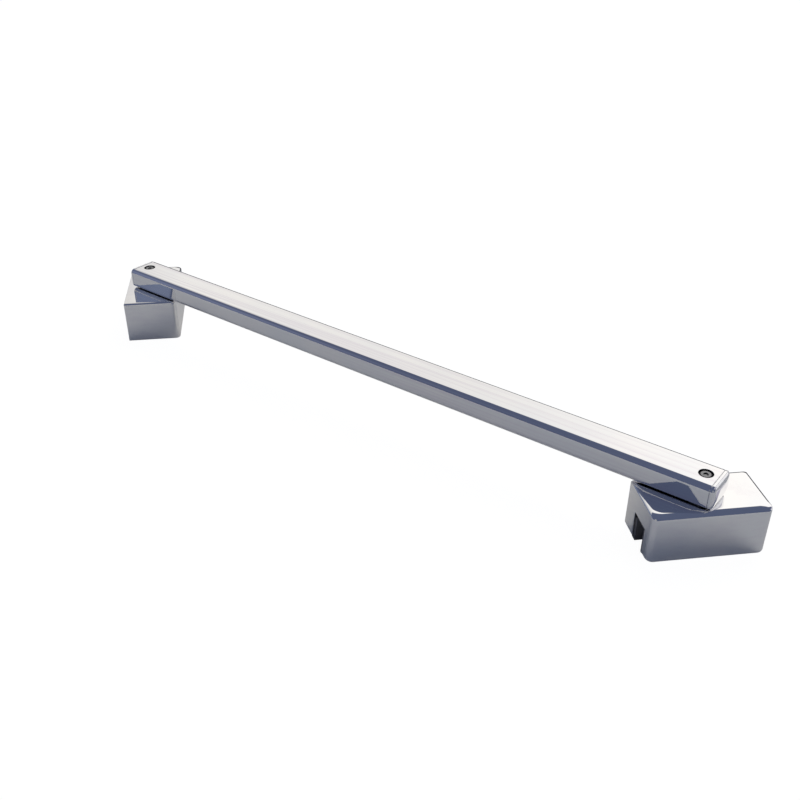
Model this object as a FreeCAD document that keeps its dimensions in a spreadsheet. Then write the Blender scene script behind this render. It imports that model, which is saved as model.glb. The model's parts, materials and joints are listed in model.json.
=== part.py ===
import FreeCAD, Part
import math
import os

import Sketcher
from FreeCAD import Vector

# Stabiliser bar between a wall and a glass shower panel, in millimetres.
# The origin is the middle of the wall bracket's wall face. +X points out of the wall and +Z up.
# The bar lies on top of both blocks, level, and runs from the wall bracket towards +X and -Y.
# Sub-parts of the bar are drawn from the wall pivot with local X along the bar, and those of the
# glass clamp from the glass pivot. Heights are measured from the middle height of the blocks.

DIMENSIONS = [
    # the bar and where it turns
    ("pivot_distance", 400, "between the two pivot axes"),
    ("bar_angle", -45, "degrees, direction of the bar from +X"),
    ("bar_width", 20.8, "section, across"),
    ("bar_height", 13, "section, upright"),
    ("bar_corner", 3, "section, corner radius"),
    ("bar_wall", 1.5, "tube wall"),
    ("bar_overhang", 6, "tube beyond each pivot axis"),
    ("bar_end_round", 0.3, "round on the tube's cut ends"),
    ("bar_gap", 0.5, "between block tops and bar"),
    # end plugs
    ("plug_flange", 2, "collar outside the tube"),
    ("plug_dome", 2, "crowned end beyond the collar"),
    ("plug_step", 0.4, "crowned end inside the collar's outline"),
    ("plug_dome_round", 1.7, "round of the crowned end"),
    ("plug_edge_round", 0.35, "round of the collar's rims"),
    ("plug_reach", 9, "shank past the pivot axis into the tube"),
    ("plug_clearance", 0.1, "shank to tube"),
    # pivot screws, M4 button heads
    ("screw_diameter", 4, "pivot screw shank"),
    ("screw_length", 20, "under the head"),
    ("screw_tip", 0.5, "chamfer at the tip"),
    ("head_diameter", 7.24, "button head"),
    ("head_height", 2.2, "button head"),
    ("head_round", 1.7, "round of the button head"),
    ("head_sunk", 0.4, "head below the bar's top face"),
    ("head_recess", 7.5, "hole in the bar round the head"),
    ("head_socket", 2.5, "hexagon across flats"),
    ("head_socket_depth", 1.3, "hexagon"),
    # bushes and glide washers
    ("running_gap", 0.05, "between parts that turn on each other"),
    ("bush_outer", 6, "sleeve of the pivot bush"),
    ("bush_flange_diameter", 7.2, "flange under the screw head"),
    ("bush_flange", 0.6, "thickness"),
    ("washer_diameter", 16, "glide washer between block and bar"),
    # wall bracket
    ("block_height", 27.3, "both blocks"),
    ("pivot_hole_depth", 10, "tapped hole in both blocks"),
    ("wall_reach", 34.3, "block, out of the wall"),
    ("wall_width", 62, "block, along the wall"),
    ("wall_shell", 4, "block walls"),
    ("wall_corner", 3.2, "upright corners on the free side"),
    ("wall_edge", 1.6, "top edges"),
    ("wall_bottom_edge", 0.6, "bottom edges"),
    ("wall_pivot_x", 16.3, "pivot axis from the wall"),
    ("wall_pivot_y", -1.5, "pivot axis from the block's middle"),
    ("boss_diameter", 11, "boss under the roof that takes the pivot screw"),
    ("boss_depth", 8, "boss below the roof"),
    # wall plate and the set screws that hold the block on it
    ("plate_thickness", 3, "plate against the wall"),
    ("plate_clearance", 0.2, "plate to the block's cavity"),
    ("plate_corner", 2, "plate corners"),
    ("plate_hole", 5, "wall screw hole"),
    ("plate_hole_spacing", 36, "between the wall screw holes"),
    ("plate_countersink", 2, "depth of the 90 degree countersink"),
    ("lug_reach", 10, "shelf beyond the plate"),
    ("lug_width", 32, "shelf"),
    ("lug_thickness", 3, "shelf"),
    ("set_screw_diameter", 4, "M4"),
    ("set_screw_length", 3.7, "threaded length"),
    ("set_screw_dog", 2.6, "point diameter"),
    ("set_screw_dog_length", 1.2, "point length"),
    ("set_screw_socket", 2, "hexagon across flats"),
    ("set_screw_x", 8, "from the wall"),
    ("set_screw_spacing", 20, "between the two"),
    ("set_screw_sunk", 0.4, "below the block's bottom face"),
    # glass clamp
    ("clamp_length", 60, "block, along the glass"),
    ("clamp_front_leg", 7, "leg on the glass's front"),
    ("clamp_slot", 13.5, "slot between the legs"),
    ("clamp_back_leg", 11, "leg with the clamp screws"),
    ("clamp_slot_depth", 15.3, "slot, from the bottom"),
    ("clamp_pivot_x", 29, "pivot axis from the block's end nearer the wall"),
    ("clamp_pivot_y", 13.5, "pivot axis from the block's front"),
    ("clamp_front_corner", 3, "upright corners at the front"),
    ("clamp_back_corner", 1.2, "upright corners at the back"),
    ("clamp_top_front_edge", 2.8, "long top edge at the front"),
    ("clamp_top_back_edge", 1.5, "long top edge at the back"),
    ("clamp_bottom_edge", 1, "long bottom edges"),
    ("clamp_end_top_edge", 1.2, "top edges of the ends"),
    ("clamp_end_bottom_edge", 3, "bottom edges of the ends"),
    ("slot_chamfer", 0.5, "slot's mouth"),
    # what lines and closes the slot
    ("liner_end_gap", 0.3, "pads short of the block's ends"),
    ("liner_side_gap", 0.1, "between neighbouring liners"),
    ("liner_bottom_gap", 0.6, "pads above the block's bottom"),
    ("liner_thickness", 1.4, "liner on the front leg"),
    ("ceiling_thickness", 1.2, "liner over the glass's edge"),
    ("jaw_gap", 0.3, "pressure plate to the back leg when open"),
    ("jaw_height", 13, "pressure plate and pad"),
    ("jaw_plate", 1.8, "pressure plate thickness"),
    ("jaw_pad", 1.6, "pressure pad thickness"),
    # clamp screws, M5 with a dog point
    ("clamp_screw_diameter", 5, "M5"),
    ("clamp_screw_length", 10.9, "threaded length"),
    ("clamp_screw_dog", 3.4, "point diameter"),
    ("clamp_screw_dog_length", 0.9, "point length"),
    ("clamp_screw_socket", 2.5, "hexagon across flats"),
    ("clamp_screw_socket_depth", 2.5, "hexagon"),
    ("clamp_screw_spacing", 30, "between the two"),
    ("screw_end_chamfer", 0.4, "ends of the set screws"),
    ("dimple_depth", 1, "in the pressure plate, for the points"),
    ("dimple_side_gap", 0.15, "round the points"),
]

# heights and places worked out from the sheet
BLOCK_TOP = "dims.block_height / 2"
BAR_BOTTOM = f"({BLOCK_TOP} + dims.bar_gap)"
BAR_MIDDLE = f"({BAR_BOTTOM} + dims.bar_height / 2)"
BAR_TOP = f"({BAR_BOTTOM} + dims.bar_height)"
HEAD_SEAT = f"({BAR_TOP} - dims.head_sunk - dims.head_height)"
BUSH_TOP = f"({HEAD_SEAT} - dims.running_gap)"
RECESS_FLOOR = f"({BUSH_TOP} - dims.bush_flange)"
SCREW_HOLE = "dims.screw_diameter + 2 * dims.running_gap"

CLAMP_MIDDLE_X = "(dims.clamp_length / 2 - dims.clamp_pivot_x)"
CLAMP_DEPTH = "(dims.clamp_front_leg + dims.clamp_slot + dims.clamp_back_leg)"
CLAMP_FRONT = "(-dims.clamp_pivot_y)"
CLAMP_BACK = f"({CLAMP_DEPTH} - dims.clamp_pivot_y)"
SLOT_FRONT = f"({CLAMP_FRONT} + dims.clamp_front_leg)"
SLOT_BACK = f"({SLOT_FRONT} + dims.clamp_slot)"
SLOT_CEILING = "(dims.clamp_slot_depth - dims.block_height / 2)"
PAD_LENGTH = "(dims.clamp_length - 2 * dims.liner_end_gap)"
PAD_BOTTOM = "(dims.liner_bottom_gap - dims.block_height / 2)"
JAW_BACK = f"({SLOT_BACK} - dims.jaw_gap)"
JAW_MIDDLE_Z = f"({PAD_BOTTOM} + dims.jaw_height / 2)"

WALL_PIVOT = ("dims.wall_pivot_x", "dims.wall_pivot_y")
GLASS_PIVOT = (
    "dims.wall_pivot_x + dims.pivot_distance * cos(dims.bar_angle)",
    "dims.wall_pivot_y + dims.pivot_distance * sin(dims.bar_angle)",
)
WALL_FACE = ("0", "0")

doc = FreeCAD.newDocument("stabiliser_bar")
sheet = doc.addObject("Spreadsheet::Sheet", "dims")


def fill_sheet():
    for row, (alias, size, note) in enumerate(DIMENSIONS, start=1):
        sheet.set(f"A{row}", alias)
        sheet.set(f"B{row}", str(size))
        sheet.setAlias(f"B{row}", alias)
        sheet.set(f"C{row}", note)
    doc.recompute()


def value(expression):
    return float(sheet.evalExpression(expression))


def new_body(name, place, turn="0"):
    """A sub-part whose own origin stands at place, (x, y), turned by turn degrees about Z."""
    body = doc.addObject("PartDesign::Body", name)
    body.Label = name
    x, y = place
    body.setExpression("Placement", f"placement(vector({x}; {y}; 0); rotation(vector(0; 0; 1); {turn}))")
    return body


def new_sketch(body, plane, offset):
    """A sketch on one of the body's origin planes. offset is in the sketch's own x, y and normal."""
    sketch = body.newObject("Sketcher::SketchObject", f"{body.Name}_sketch")
    origin_plane = next(f for f in body.Origin.OriginFeatures if f.Role == plane)
    sketch.AttachmentSupport = [(origin_plane, "")]
    sketch.MapMode = "FlatFace"
    for axis, expression in zip("xyz", offset):
        sketch.setExpression(f".AttachmentOffset.Base.{axis}", expression)
    return sketch


def upright(body, x, y, z):
    """A sketch whose plane is level at height z, centred on (x, y)."""
    return new_sketch(body, "XY_Plane", (x, y, z))


def facing_x(body, x, y, z):
    """A sketch in the plane at x, centred on (y, z), with its normal along +X."""
    return new_sketch(body, "YZ_Plane", (y, z, x))


def facing_y(body, x, y, z):
    """A sketch in the plane at y, centred on (x, z), with its normal along -Y."""
    return new_sketch(body, "XZ_Plane", (x, z, f"-({y})"))


def bind(sketch, constraint, expression):
    index = sketch.addConstraint(constraint)
    sketch.setExpression(f"Constraints[{index}]", expression)


def add_rectangle(sketch, width, height, radii=("0", "0", "0", "0")):
    """A rectangle centred on the sketch's origin. radii go round from its lower left corner."""
    half_width = value(width) / 2
    half_height = value(height) / 2
    corners = [
        Vector(-half_width, -half_height, 0),
        Vector(half_width, -half_height, 0),
        Vector(half_width, half_height, 0),
        Vector(-half_width, half_height, 0),
    ]
    rounds = [value(radius) for radius in radii]
    sides = []
    for i in range(4):
        start = corners[i]
        end = corners[(i + 1) % 4]
        along = (end - start).normalize()
        line = Part.LineSegment(start + along * rounds[i], end - along * rounds[(i + 1) % 4])
        side = sketch.addGeometry(line, False)
        sides.append(side)
        sketch.addConstraint(Sketcher.Constraint(("Horizontal", "Vertical")[i % 2], side))
        across = (height, width)[i % 2]
        from_middle = Sketcher.Constraint("Distance", -1, 1, side, value(across) / 2)
        bind(sketch, from_middle, f"({across}) / 2")
    for i in range(4):
        before = sides[i - 1]
        after = sides[i]
        if rounds[i] == 0:
            sketch.addConstraint(Sketcher.Constraint("Coincident", before, 2, after, 1))
            continue
        inward = Vector(-math.copysign(rounds[i], corners[i].x), -math.copysign(rounds[i], corners[i].y), 0)
        circle = Part.Circle(corners[i] + inward, Vector(0, 0, 1), rounds[i])
        first_angle = math.pi + i * math.pi / 2
        arc = sketch.addGeometry(Part.ArcOfCircle(circle, first_angle, first_angle + math.pi / 2), False)
        sketch.addConstraint(Sketcher.Constraint("Tangent", before, 2, arc, 1))
        sketch.addConstraint(Sketcher.Constraint("Tangent", arc, 2, after, 1))
        bind(sketch, Sketcher.Constraint("Radius", arc, rounds[i]), radii[i])


def add_circle(sketch, diameter, construction=False):
    circle = Part.Circle(Vector(0, 0, 0), Vector(0, 0, 1), value(diameter) / 2)
    index = sketch.addGeometry(circle, construction)
    sketch.addConstraint(Sketcher.Constraint("Coincident", index, 3, -1, 1))
    bind(sketch, Sketcher.Constraint("Diameter", index, value(diameter)), diameter)
    return index


def add_hexagon(sketch, across_flats):
    """A regular hexagon round the sketch's origin, held by a construction circle through its corners."""
    across_corners = f"({across_flats}) / cos(30)"
    circle = add_circle(sketch, across_corners, construction=True)
    radius = value(across_corners) / 2
    corners = [
        Vector(radius * math.cos(k * math.pi / 3), radius * math.sin(k * math.pi / 3), 0) for k in range(6)
    ]
    sides = [
        sketch.addGeometry(Part.LineSegment(corners[k], corners[(k + 1) % 6]), False) for k in range(6)
    ]
    for k in range(6):
        sketch.addConstraint(Sketcher.Constraint("Coincident", sides[k - 1], 2, sides[k], 1))
        sketch.addConstraint(Sketcher.Constraint("PointOnObject", sides[k], 1, circle))
        if k > 0:
            sketch.addConstraint(Sketcher.Constraint("Equal", sides[0], sides[k]))
    sketch.addConstraint(Sketcher.Constraint("Horizontal", sides[1]))


def add_feature(kind, sketch, length, reverse):
    """A pad or pocket of the sketch. It must change the body's volume, or the script stops."""
    body = sketch.getParentGeoFeatureGroup()
    volume_before = body.Shape.Volume if body.Tip else 0
    feature = body.newObject(f"PartDesign::{kind}", f"{sketch.Name}_{kind}")
    feature.Profile = sketch
    feature.setExpression("Length", length)
    feature.Reversed = reverse
    doc.recompute()
    change = body.Shape.Volume - volume_before
    if (kind == "Pad") != (change > 0) or change == 0:
        raise RuntimeError(f"{feature.Label} changed {body.Label} by {change} mm3")
    return feature


def pad(sketch, length, reverse=False):
    return add_feature("Pad", sketch, length, reverse)


def pocket(sketch, length, reverse=False):
    return add_feature("Pocket", sketch, length, reverse)


def trim(sketch, width, height, radii, length):
    """Cuts away what lies outside a rounded rectangle, from the sketch's plane against its normal."""
    add_rectangle(sketch, f"({width}) * 2", f"({height}) * 2")
    add_rectangle(sketch, width, height, radii)
    return pocket(sketch, length)


def dress(kind, size_name, body, size, points):
    """A fillet or chamfer on the edges nearest to the given points of the body's own frame.

    A point on a circle stands a quarter turn from its seam, where another edge ends.
    """
    base = body.Tip
    names = []
    for point in points:
        vertex = Part.Vertex(*point)
        gaps = [edge.distToShape(vertex)[0] for edge in base.Shape.Edges]
        names.append(f"Edge{gaps.index(min(gaps)) + 1}")
    feature = body.newObject(f"PartDesign::{kind}", f"{body.Name}_{kind}")
    feature.Base = (base, sorted(set(names)))
    feature.setExpression(size_name, size)
    doc.recompute()
    return feature


def round_edges(body, radius, points):
    return dress("Fillet", "Radius", body, radius, points)


def bevel_edges(body, size, points):
    return dress("Chamfer", "Size", body, size, points)


def wall_bracket_block():
    body = new_body("wall_bracket_block", WALL_FACE)
    middle_x = "dims.wall_reach / 2"
    plan = upright(body, middle_x, "0", f"-{BLOCK_TOP}")
    add_rectangle(plan, "dims.wall_reach", "dims.wall_width", ("0", "dims.wall_corner", "dims.wall_corner", "0"))
    pad(plan, "dims.block_height")
    long_edges = facing_x(body, "dims.wall_reach", "0", "0")
    end_radii = ["dims.wall_bottom_edge"] * 2 + ["dims.wall_edge"] * 2
    trim(long_edges, "dims.wall_width", "dims.block_height", end_radii, "dims.wall_reach")
    front_view = facing_y(body, middle_x, "-dims.wall_width / 2", "0")
    front_radii = ("0", "dims.wall_bottom_edge", "dims.wall_edge", "0")
    trim(front_view, "dims.wall_reach", "dims.block_height", front_radii, "dims.wall_width")

    cavity = facing_x(body, "0", "0", "0")
    cavity_corner = ["dims.wall_shell / 2"] * 4
    cavity_width = "dims.wall_width - 2 * dims.wall_shell"
    cavity_height = "dims.block_height - 2 * dims.wall_shell"
    add_rectangle(cavity, cavity_width, cavity_height, cavity_corner)
    pocket(cavity, "dims.wall_reach - dims.wall_shell", reverse=True)
    boss = upright(body, *WALL_PIVOT, f"{BLOCK_TOP} - dims.wall_shell")
    add_circle(boss, "dims.boss_diameter")
    pad(boss, "dims.boss_depth", reverse=True)
    tapped = upright(body, *WALL_PIVOT, BLOCK_TOP)
    add_circle(tapped, SCREW_HOLE)
    pocket(tapped, "dims.pivot_hole_depth")
    for side_sign in ("-", "+"):
        hole = upright(body, "dims.set_screw_x", f"{side_sign}dims.set_screw_spacing / 2", f"-{BLOCK_TOP}")
        add_circle(hole, "dims.set_screw_diameter + 2 * dims.running_gap")
        pocket(hole, "dims.wall_shell", reverse=True)
    return body


def wall_plate():
    """The plate screwed to the wall, with a shelf whose holes take the points of the set screws."""
    body = new_body("wall_plate", WALL_FACE)
    height = "(dims.block_height - 2 * dims.wall_shell - 2 * dims.plate_clearance)"
    width = "(dims.wall_width - 2 * dims.wall_shell - 2 * dims.plate_clearance)"
    outline = facing_x(body, "0", "0", "0")
    add_rectangle(outline, width, height, ["dims.plate_corner"] * 4)
    pad(outline, "dims.plate_thickness")
    shelf_length = "(dims.plate_thickness + dims.lug_reach)"
    shelf = upright(body, f"{shelf_length} / 2", "0", f"-{height} / 2")
    add_rectangle(shelf, shelf_length, "dims.lug_width")
    pad(shelf, "dims.lug_thickness")
    rims = []
    for side_sign in ("-", "+"):
        y = f"{side_sign}dims.plate_hole_spacing / 2"
        hole = facing_x(body, "dims.plate_thickness", y, "0")
        add_circle(hole, "dims.plate_hole")
        pocket(hole, "dims.plate_thickness")
        rims.append((value("dims.plate_thickness"), value(y), value("dims.plate_hole / 2")))
        dimple = upright(body, "dims.set_screw_x", f"{side_sign}dims.set_screw_spacing / 2", f"-{height} / 2")
        add_circle(dimple, "dims.set_screw_dog + 2 * dims.dimple_side_gap")
        pocket(dimple, "dims.lug_thickness", reverse=True)
    bevel_edges(body, "dims.plate_countersink", rims)
    return body


def wall_set_screw(name, side_sign):
    """A set screw in the block's floor whose point stands in the shelf of the wall plate."""
    body = new_body(name, ("dims.set_screw_x", f"{side_sign}dims.set_screw_spacing / 2"))
    bottom = f"dims.set_screw_sunk - {BLOCK_TOP}"
    shank = upright(body, "0", "0", bottom)
    add_circle(shank, "dims.set_screw_diameter")
    pad(shank, "dims.set_screw_length")
    point = upright(body, "0", "0", f"{bottom} + dims.set_screw_length")
    add_circle(point, "dims.set_screw_dog")
    pad(point, "dims.set_screw_dog_length")
    socket = upright(body, "0", "0", bottom)
    add_hexagon(socket, "dims.set_screw_socket")
    pocket(socket, "dims.set_screw_length / 2", reverse=True)
    rim = (0, value("dims.set_screw_diameter / 2"), value(bottom))
    bevel_edges(body, "dims.screw_end_chamfer", [rim])
    return body


def pivot_screw(name, place):
    body = new_body(name, place)
    shank = upright(body, "0", "0", HEAD_SEAT)
    add_circle(shank, "dims.screw_diameter")
    pad(shank, "dims.screw_length", reverse=True)
    head = upright(body, "0", "0", HEAD_SEAT)
    add_circle(head, "dims.head_diameter")
    pad(head, "dims.head_height")
    head_top = value(f"{HEAD_SEAT} + dims.head_height")
    round_edges(body, "dims.head_round", [(0, value("dims.head_diameter / 2"), head_top)])
    tip = value(f"{HEAD_SEAT} - dims.screw_length")
    bevel_edges(body, "dims.screw_tip", [(0, value("dims.screw_diameter / 2"), tip)])
    socket = upright(body, "0", "0", f"{HEAD_SEAT} + dims.head_height")
    add_hexagon(socket, "dims.head_socket")
    pocket(socket, "dims.head_socket_depth")
    return body


def pivot_bush(name, place):
    """A flanged sleeve, pressed into the end plug, that the pivot screw's shank turns in."""
    body = new_body(name, place)
    sleeve = upright(body, "0", "0", BAR_BOTTOM)
    add_circle(sleeve, "dims.bush_outer")
    add_circle(sleeve, SCREW_HOLE)
    pad(sleeve, f"{RECESS_FLOOR} - {BAR_BOTTOM}")
    flange = upright(body, "0", "0", RECESS_FLOOR)
    add_circle(flange, "dims.bush_flange_diameter")
    add_circle(flange, SCREW_HOLE)
    pad(flange, "dims.bush_flange")
    return body


def glide_washer(name, place):
    body = new_body(name, place)
    ring = upright(body, "0", "0", BLOCK_TOP)
    add_circle(ring, "dims.washer_diameter")
    add_circle(ring, SCREW_HOLE)
    pad(ring, "dims.bar_gap - dims.running_gap")
    return body


def bar_tube():
    body = new_body("bar_tube", WALL_PIVOT, "dims.bar_angle")
    length = "dims.pivot_distance + 2 * dims.bar_overhang"
    section = facing_x(body, "-dims.bar_overhang", "0", BAR_MIDDLE)
    add_rectangle(section, "dims.bar_width", "dims.bar_height", ["dims.bar_corner"] * 4)
    inner_width = "dims.bar_width - 2 * dims.bar_wall"
    inner_height = "dims.bar_height - 2 * dims.bar_wall"
    add_rectangle(section, inner_width, inner_height, ["dims.bar_corner - dims.bar_wall"] * 4)
    pad(section, length)
    side_y = value("dims.bar_width / 2")
    ends = [value("-dims.bar_overhang"), value("dims.pivot_distance + dims.bar_overhang")]
    round_edges(body, "dims.bar_end_round", [(x, side_y, value(BAR_MIDDLE)) for x in ends])
    for pivot in ("0", "dims.pivot_distance"):
        recess = upright(body, pivot, "0", BAR_TOP)
        add_circle(recess, "dims.head_recess")
        pocket(recess, "dims.bar_wall")
        foot = upright(body, pivot, "0", BAR_BOTTOM)
        add_circle(foot, "dims.bush_outer + 2 * dims.running_gap")
        pocket(foot, "dims.bar_wall", reverse=True)
    return body


def end_plug(name, place, turn):
    """Drawn for the wall end: the crowned end is towards -X and the shank goes into the tube along +X."""
    body = new_body(name, place, turn)
    rim_x = "-(dims.bar_overhang + dims.plug_flange)"
    collar = facing_x(body, rim_x, "0", BAR_MIDDLE)
    add_rectangle(collar, "dims.bar_width", "dims.bar_height", ["dims.bar_corner"] * 4)
    pad(collar, "dims.plug_flange")
    side_y = value("dims.bar_width / 2")
    rims = [(value(x), side_y, value(BAR_MIDDLE)) for x in (rim_x, "-dims.bar_overhang")]
    round_edges(body, "dims.plug_edge_round", rims)

    crown = facing_x(body, rim_x, "0", BAR_MIDDLE)
    crown_width = "dims.bar_width - 2 * dims.plug_step"
    crown_height = "dims.bar_height - 2 * dims.plug_step"
    add_rectangle(crown, crown_width, crown_height, ["dims.bar_corner - dims.plug_step"] * 4)
    pad(crown, "dims.plug_dome", reverse=True)
    crown_rim = (value(f"{rim_x} - dims.plug_dome"), side_y - value("dims.plug_step"), value(BAR_MIDDLE))
    round_edges(body, "dims.plug_dome_round", [crown_rim])

    inset = "2 * (dims.bar_wall + dims.plug_clearance)"
    shank = facing_x(body, "-dims.bar_overhang", "0", BAR_MIDDLE)
    shank_corners = ["dims.bar_corner - dims.bar_wall"] * 4
    add_rectangle(shank, f"dims.bar_width - {inset}", f"dims.bar_height - {inset}", shank_corners)
    pad(shank, "dims.bar_overhang + dims.plug_reach")
    recess = upright(body, "0", "0", BAR_TOP)
    add_circle(recess, "dims.head_recess")
    pocket(recess, f"{BAR_TOP} - {RECESS_FLOOR}")
    seat = upright(body, "0", "0", BAR_TOP)
    add_circle(seat, "dims.bush_outer + 2 * dims.running_gap")
    pocket(seat, "dims.bar_height")
    return body


def glass_clamp_block():
    body = new_body("glass_clamp_block", GLASS_PIVOT)
    middle_y = f"({CLAMP_FRONT} + {CLAMP_BACK}) / 2"
    plan = upright(body, CLAMP_MIDDLE_X, middle_y, f"-{BLOCK_TOP}")
    plan_radii = ["dims.clamp_front_corner"] * 2 + ["dims.clamp_back_corner"] * 2
    add_rectangle(plan, "dims.clamp_length", CLAMP_DEPTH, plan_radii)
    pad(plan, "dims.block_height")
    end_view = facing_x(body, "dims.clamp_length - dims.clamp_pivot_x", middle_y, "0")
    end_radii = ["dims.clamp_bottom_edge"] * 2 + ["dims.clamp_top_back_edge", "dims.clamp_top_front_edge"]
    trim(end_view, CLAMP_DEPTH, "dims.block_height", end_radii, "dims.clamp_length")
    front_view = facing_y(body, CLAMP_MIDDLE_X, CLAMP_FRONT, "0")
    front_radii = ["dims.clamp_end_bottom_edge"] * 2 + ["dims.clamp_end_top_edge"] * 2
    trim(front_view, "dims.clamp_length", "dims.block_height", front_radii, CLAMP_DEPTH)

    slot_middle = f"({SLOT_FRONT} + {SLOT_BACK}) / 2"
    slot_bottom = f"-{BLOCK_TOP}"
    slot = facing_x(body, "dims.clamp_length - dims.clamp_pivot_x", slot_middle, slot_bottom)
    add_rectangle(slot, "dims.clamp_slot", "2 * dims.clamp_slot_depth")
    pocket(slot, "dims.clamp_length")
    middle_x = value(CLAMP_MIDDLE_X)
    mouth = [(middle_x, value(y), value(slot_bottom)) for y in (SLOT_FRONT, SLOT_BACK)]
    bevel_edges(body, "dims.slot_chamfer", mouth)

    tapped = upright(body, "0", "0", BLOCK_TOP)
    add_circle(tapped, SCREW_HOLE)
    pocket(tapped, "dims.pivot_hole_depth")
    for side_sign in ("-", "+"):
        x = f"{CLAMP_MIDDLE_X} {side_sign} dims.clamp_screw_spacing / 2"
        hole = facing_y(body, x, CLAMP_BACK, JAW_MIDDLE_Z)
        add_circle(hole, "dims.clamp_screw_diameter + 2 * dims.running_gap")
        pocket(hole, "dims.clamp_back_leg", reverse=True)
    return body


def fixed_liner():
    """The rubber strip on the front leg, which the glass stands against."""
    body = new_body("fixed_liner", GLASS_PIVOT)
    height = f"({SLOT_CEILING} - dims.ceiling_thickness - dims.liner_side_gap - {PAD_BOTTOM})"
    strip = facing_y(body, CLAMP_MIDDLE_X, SLOT_FRONT, f"{PAD_BOTTOM} + {height} / 2")
    add_rectangle(strip, PAD_LENGTH, height)
    pad(strip, "dims.liner_thickness", reverse=True)
    return body


def ceiling_liner():
    """The rubber strip over the glass's top edge, between the fixed liner and the pressure pad."""
    body = new_body("ceiling_liner", GLASS_PIVOT)
    front = f"({SLOT_FRONT} + dims.liner_thickness + dims.liner_side_gap)"
    back = f"({JAW_BACK} - dims.jaw_plate - dims.jaw_pad - dims.liner_side_gap)"
    strip = upright(body, CLAMP_MIDDLE_X, f"({front} + {back}) / 2", SLOT_CEILING)
    add_rectangle(strip, PAD_LENGTH, f"{back} - {front}")
    pad(strip, "dims.ceiling_thickness", reverse=True)
    return body


def pressure_plate():
    body = new_body("pressure_plate", GLASS_PIVOT)
    outline = facing_y(body, CLAMP_MIDDLE_X, JAW_BACK, JAW_MIDDLE_Z)
    add_rectangle(outline, PAD_LENGTH, "dims.jaw_height")
    pad(outline, "dims.jaw_plate")
    for side_sign in ("-", "+"):
        x = f"{CLAMP_MIDDLE_X} {side_sign} dims.clamp_screw_spacing / 2"
        dimple = facing_y(body, x, JAW_BACK, JAW_MIDDLE_Z)
        add_circle(dimple, "dims.clamp_screw_dog + 2 * dims.dimple_side_gap")
        pocket(dimple, "dims.dimple_depth", reverse=True)
    return body


def pressure_pad():
    body = new_body("pressure_pad", GLASS_PIVOT)
    outline = facing_y(body, CLAMP_MIDDLE_X, f"{JAW_BACK} - dims.jaw_plate", JAW_MIDDLE_Z)
    add_rectangle(outline, PAD_LENGTH, "dims.jaw_height")
    pad(outline, "dims.jaw_pad")
    return body


def clamp_screw(name, side_sign):
    """A set screw in the back leg whose point stands in a dimple of the pressure plate."""
    body = new_body(name, GLASS_PIVOT)
    x = f"{CLAMP_MIDDLE_X} {side_sign} dims.clamp_screw_spacing / 2"
    shoulder = f"({JAW_BACK} + dims.running_gap)"
    outer_end = f"({shoulder} + dims.clamp_screw_length)"
    shank = facing_y(body, x, shoulder, JAW_MIDDLE_Z)
    add_circle(shank, "dims.clamp_screw_diameter")
    pad(shank, "dims.clamp_screw_length", reverse=True)
    point = facing_y(body, x, shoulder, JAW_MIDDLE_Z)
    add_circle(point, "dims.clamp_screw_dog")
    pad(point, "dims.clamp_screw_dog_length")
    socket = facing_y(body, x, outer_end, JAW_MIDDLE_Z)
    add_hexagon(socket, "dims.clamp_screw_socket")
    pocket(socket, "dims.clamp_screw_socket_depth", reverse=True)
    rim_z = value(f"{JAW_MIDDLE_Z} + dims.clamp_screw_diameter / 2")
    rims = [(value(x), value(y), rim_z) for y in (shoulder, outer_end)]
    bevel_edges(body, "dims.screw_end_chamfer", rims)
    return body


def build_parts():
    return [
        wall_bracket_block(),
        wall_plate(),
        wall_set_screw("wall_set_screw_front", "-"),
        wall_set_screw("wall_set_screw_back", "+"),
        glide_washer("wall_glide_washer", WALL_PIVOT),
        pivot_screw("wall_pivot_screw", WALL_PIVOT),
        pivot_bush("wall_pivot_bush", WALL_PIVOT),
        bar_tube(),
        end_plug("wall_end_plug", WALL_PIVOT, "dims.bar_angle"),
        end_plug("glass_end_plug", GLASS_PIVOT, "dims.bar_angle + 180"),
        pivot_bush("glass_pivot_bush", GLASS_PIVOT),
        pivot_screw("glass_pivot_screw", GLASS_PIVOT),
        glide_washer("glass_glide_washer", GLASS_PIVOT),
        glass_clamp_block(),
        fixed_liner(),
        ceiling_liner(),
        pressure_plate(),
        pressure_pad(),
        clamp_screw("clamp_screw_left", "-"),
        clamp_screw("clamp_screw_right", "+"),
    ]


def check(parts):
    for item in doc.Objects:
        if {"Invalid", "Error"} & set(item.State):
            raise RuntimeError(f"{item.Label} failed: {item.State}")
    for part in parts:
        if part.Shape.isNull() or not part.Shape.isValid() or len(part.Shape.Solids) != 1:
            raise RuntimeError(f"{part.Label} isn't one valid solid")


fill_sheet()
sub_parts = build_parts()
doc.recompute()
check(sub_parts)
os.makedirs("parts", exist_ok=True)
for sub_part in sub_parts:
    sub_part.Shape.exportStep(f"parts/{sub_part.Label}.step")
    box = sub_part.Shape.BoundBox
    print(
        f"{sub_part.Label}: {sub_part.Shape.Volume:.1f} mm3,"
        f" x {box.XMin:.2f} to {box.XMax:.2f}, y {box.YMin:.2f} to {box.YMax:.2f},"
        f" z {box.ZMin:.2f} to {box.ZMax:.2f}"
    )
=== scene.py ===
import json
import math
from typing import NamedTuple

import bmesh
import bpy
from mathutils import Matrix, Vector


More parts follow.
